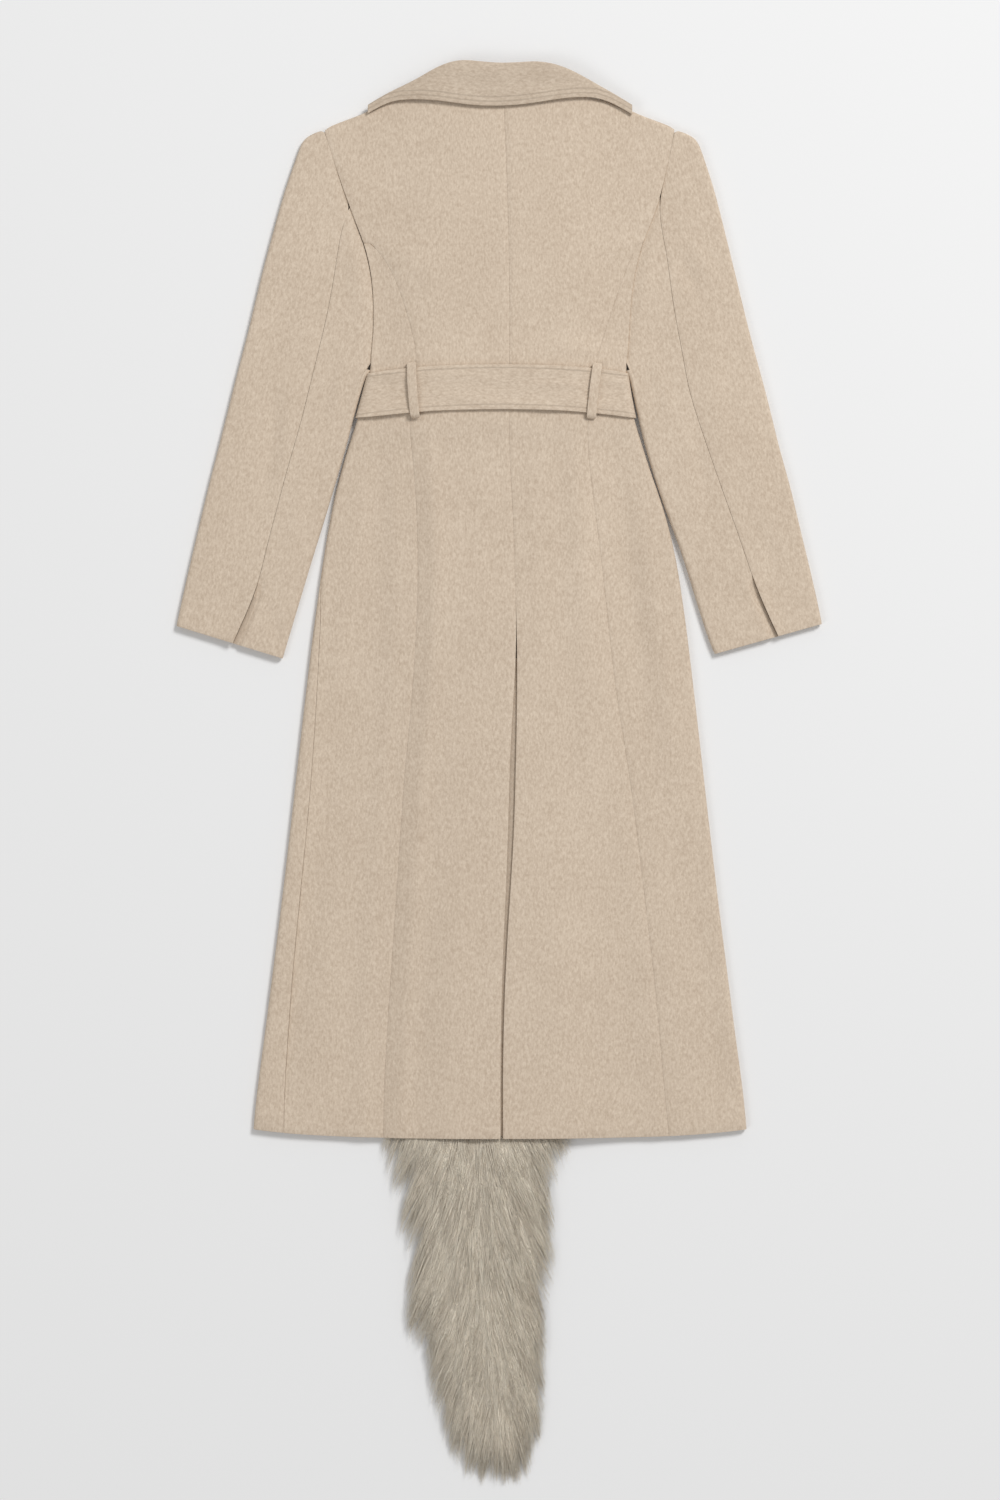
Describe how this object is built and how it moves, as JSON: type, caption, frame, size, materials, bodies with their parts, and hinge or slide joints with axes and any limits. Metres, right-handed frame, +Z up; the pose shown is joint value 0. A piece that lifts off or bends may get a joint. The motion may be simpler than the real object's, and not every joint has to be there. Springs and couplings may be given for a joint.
{
  "type": "belted wool coat with long fur stole panel",
  "caption": "Belted wool coat laid face down, its back up, with a long fur stole panel reaching below the hem.",
  "frame": {"origin": "middle of the laid garment's box, on the floor", "axes": "+X to the right as seen with the back up, +Y from the hem to the collar, +Z up from the floor"},
  "size_m": [0.7542, 1.6606, 0.0238],
  "materials": {
    "wool": "brushed beige melange with a short vertical nap",
    "fur": "long silky grey-beige hair"
  },
  "bodies": {
    "root": {"back_centre_left": "wool", "back_side_left": "wool", "back_centre_right": "wool", "back_side_right": "wool", "front_left": "wool", "front_right": "wool", "vent_underlay": "wool", "topsleeve_left": "wool", "undersleeve_left": "wool", "topsleeve_right": "wool", "undersleeve_right": "wool", "belt": "wool", "belt_loop_left": "wool", "belt_loop_right": "wool", "collar": "wool", "fur_stole": "fur"}
  },
  "joints": []
}
